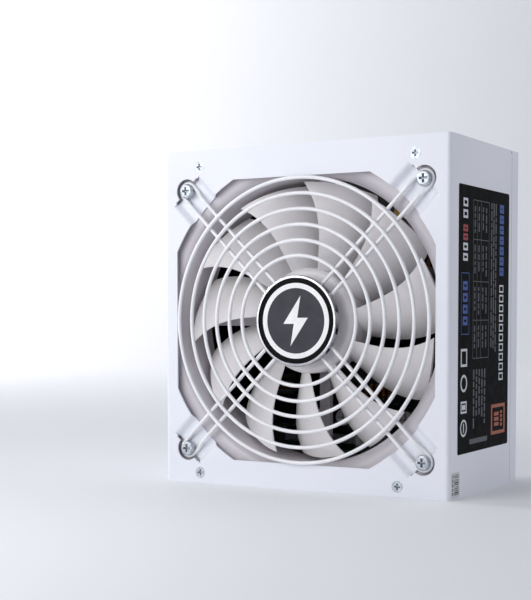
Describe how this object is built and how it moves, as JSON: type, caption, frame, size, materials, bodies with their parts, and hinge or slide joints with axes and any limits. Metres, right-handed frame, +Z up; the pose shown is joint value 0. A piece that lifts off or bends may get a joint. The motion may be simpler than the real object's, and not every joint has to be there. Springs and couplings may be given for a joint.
{
  "type": "computer power supply",
  "caption": "Modular ATX power supply unit: a white sheet-steel case with a large guarded intake fan, mains inlet, rocker switch and flush output sockets.",
  "frame": {"origin": "middle of the case's footprint, on the socket end's outer face", "axes": "+Z up to the mains end, -Y out of the fan side, +X to the label side"},
  "size_m": [0.1501, 0.0897, 0.1638],
  "materials": {
    "white_paint": "satin powder coat",
    "white_wire": "powder-coated wire",
    "zinc_screw": "bright zinc",
    "rim_chrome": "polished rim",
    "badge_black": "domed black",
    "badge_white": "printed white",
    "label_black": "printed film",
    "label_white": "printed paper",
    "fan_white": "moulded, satin",
    "impeller_white": "moulded, satin",
    "yoke_steel": "zinc plated",
    "magnet_black": "bonded ferrite",
    "ground_steel": "ground",
    "sleeve_bronze": "sintered",
    "core_steel": "laminated",
    "copper": "enamelled wire",
    "board_green": "solder mask",
    "board_black": "solder mask",
    "wire_black": "insulated",
    "wire_green": "insulated",
    "plug_white": "moulded nylon",
    "switch_black": "moulded",
    "inlet_black": "moulded",
    "pin_brass": "nickel plated",
    "tin": "tinned",
    "film_black": "thin film",
    "ferrite": "sintered",
    "core_yellow": "coated powder",
    "capacitor_yellow": "moulded box",
    "capacitor_blue": "dipped",
    "capacitor_black": "sleeved",
    "relay_grey": "moulded",
    "chip_black": "moulded",
    "heatsink": "extruded",
    "tape_yellow": "tape"
  },
  "bodies": {
    "unit": {"fan_cover": "white_paint", "base_chassis": "white_paint", "cover_screws": "zinc_screw", "fan_grille": "white_wire", "grille_screws": "zinc_screw", "badge_rim": "rim_chrome", "badge_disc": "badge_black", "badge_print": "badge_white", "spec_label": "label_black", "serial_label": "label_white", "fan_frame": "fan_white", "bearing_sleeve": "sleeve_bronze", "stator_core": "core_steel", "stator_windings": "copper", "fan_circuit_board": "board_green", "fan_lead": "wire_black", "fan_plug": "plug_white", "ac_inlet": "inlet_black", "inlet_pins": "pin_brass", "switch_housing": "switch_black", "switch_terminals": "pin_brass", "mains_leads": "wire_black", "earth_lead": "wire_green", "earth_lug": "tin", "earth_screw": "zinc_screw", "emi_board": "board_black", "main_board": "board_black", "insulation_sheet": "film_black", "board_standoffs": "pin_brass", "board_screws": "zinc_screw", "filter_choke_core": "ferrite", "filter_choke_winding": "copper", "pfc_choke_core": "core_yellow", "pfc_choke_winding": "copper", "output_choke_core": "core_yellow", "output_choke_winding": "copper", "x_capacitors": "capacitor_yellow", "y_capacitors": "capacitor_blue", "inrush_relay": "relay_grey", "bridge_rectifier": "chip_black", "bulk_capacitor": "capacitor_black", "output_capacitors": "capacitor_black", "primary_heatsink": "heatsink", "primary_transistors": "chip_black", "secondary_heatsink": "heatsink", "secondary_transistors": "chip_black", "transformer_core": "ferrite", "transformer_winding": "tape_yellow", "output_busbars": "tin", "socket_board": "board_green", "socket_24_pin": "plug_white", "sockets_8_pin": "plug_white", "sockets_6_pin": "plug_white", "socket_pins": "pin_brass"},
    "rotor": {"fan_impeller": "impeller_white", "rotor_yoke": "yoke_steel", "rotor_magnet": "magnet_black", "fan_shaft": "ground_steel", "shaft_clip": "ground_steel"},
    "rocker": {"switch_rocker": "switch_black"}
  },
  "joints": [
    {"name": "fan_spin", "type": "hinge", "parent": "unit", "child": "rotor", "pos_m": [0, -0.03, 0.0785], "axis": [0, -1, 0], "continuous": true},
    {"name": "switch_rock", "type": "hinge", "parent": "unit", "child": "rocker", "pos_m": [0.046, -0.0035, 0.158], "axis": [0, 1, 0], "range_deg": [0, 20]}
  ]
}
